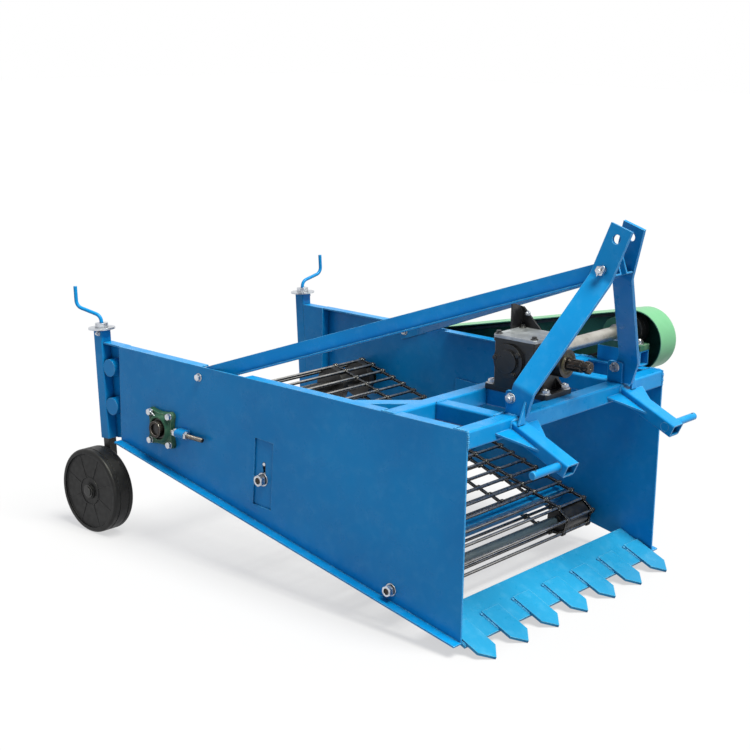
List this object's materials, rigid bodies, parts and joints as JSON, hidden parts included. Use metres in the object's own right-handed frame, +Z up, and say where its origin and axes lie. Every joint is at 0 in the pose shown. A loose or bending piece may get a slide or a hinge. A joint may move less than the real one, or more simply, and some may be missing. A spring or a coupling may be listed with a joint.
{
  "type": "tractor-mounted potato harvester",
  "caption": "Tractor-mounted potato harvester with a toothed share, a rod web between deep side walls, a gearbox and belt drive, a three-point hitch and screw-adjusted rear wheels.",
  "frame": {"origin": "centre of the drive shaft's front end face", "axes": "+X forward to the tractor along the drive shaft, +Y to the machine's left, +Z up"},
  "size_m": [1.794, 1.1658, 1.1234],
  "materials": {
    "blue_paint": "gloss enamel",
    "green_paint": "gloss enamel",
    "bearing_green": "painted casting",
    "gearbox_black": "satin black paint",
    "zinc": "zinc plated",
    "bare_steel": "machined, lightly oiled",
    "wheel_plastic": "moulded",
    "belt_rubber": "matt",
    "lid_aluminium": "cast, satin",
    "web_steel": "dark spring steel",
    "pulley_iron": "machined casting"
  },
  "bodies": {
    "frame": {"right_side_wall": "blue_paint", "right_lower_arm": "blue_paint", "right_mast_bar": "blue_paint", "right_strut": "blue_paint", "left_side_wall": "blue_paint", "left_lower_arm": "blue_paint", "left_mast_bar": "blue_paint", "left_strut": "blue_paint", "adjuster_plates": "blue_paint", "tension_screws": "zinc", "mast_lugs": "blue_paint", "hitch_pins": "blue_paint", "shaft_bearings": "bearing_green", "posts": "blue_paint", "post_brackets": "blue_paint", "jack_screws": "zinc", "crank_rods": "blue_paint", "front_beam": "blue_paint", "rear_beam": "blue_paint", "deck_rails": "blue_paint", "corner_braces": "blue_paint", "pillow_stand": "blue_paint", "share_blade": "blue_paint", "share_teeth": "blue_paint", "cross_tie": "blue_paint", "mast_bolt": "zinc", "gearbox_housing": "gearbox_black", "gearbox_lid": "lid_aluminium", "pto_shaft": "bare_steel", "cross_shaft": "bare_steel", "pillow_bearing": "bearing_green", "drive_pulley": "pulley_iron", "driven_pulley": "pulley_iron", "drive_belts": "belt_rubber", "belt_guard": "green_paint", "rod_web": "web_steel", "web_shaft": "gearbox_black", "front_rollers": "gearbox_black", "support_rollers": "gearbox_black"},
    "right_leg_set": {"right_leg": "gearbox_black", "right_stub_axle": "gearbox_black"},
    "right_wheel_set": {"right_wheel": "wheel_plastic"},
    "left_leg_set": {"left_leg": "gearbox_black", "left_stub_axle": "gearbox_black"},
    "left_wheel_set": {"left_wheel": "wheel_plastic"}
  },
  "joints": [
    {"name": "right_leg_slide", "type": "slide", "parent": "frame", "child": "right_leg_set", "axis": [0.0698, 0, -0.9976], "range_m": [-0.03, 0.1]},
    {"name": "right_wheel_spin", "type": "hinge", "parent": "right_leg_set", "child": "right_wheel_set", "pos_m": [-1.52162, -0.5229, -0.57236], "axis": [0, 1, 0], "continuous": true},
    {"name": "left_leg_slide", "type": "slide", "parent": "frame", "child": "left_leg_set", "axis": [0.0698, 0, -0.9976], "range_m": [-0.03, 0.1]},
    {"name": "left_wheel_spin", "type": "hinge", "parent": "left_leg_set", "child": "left_wheel_set", "pos_m": [-1.52162, 0.5229, -0.57236], "axis": [0, 1, 0], "continuous": true}
  ]
}
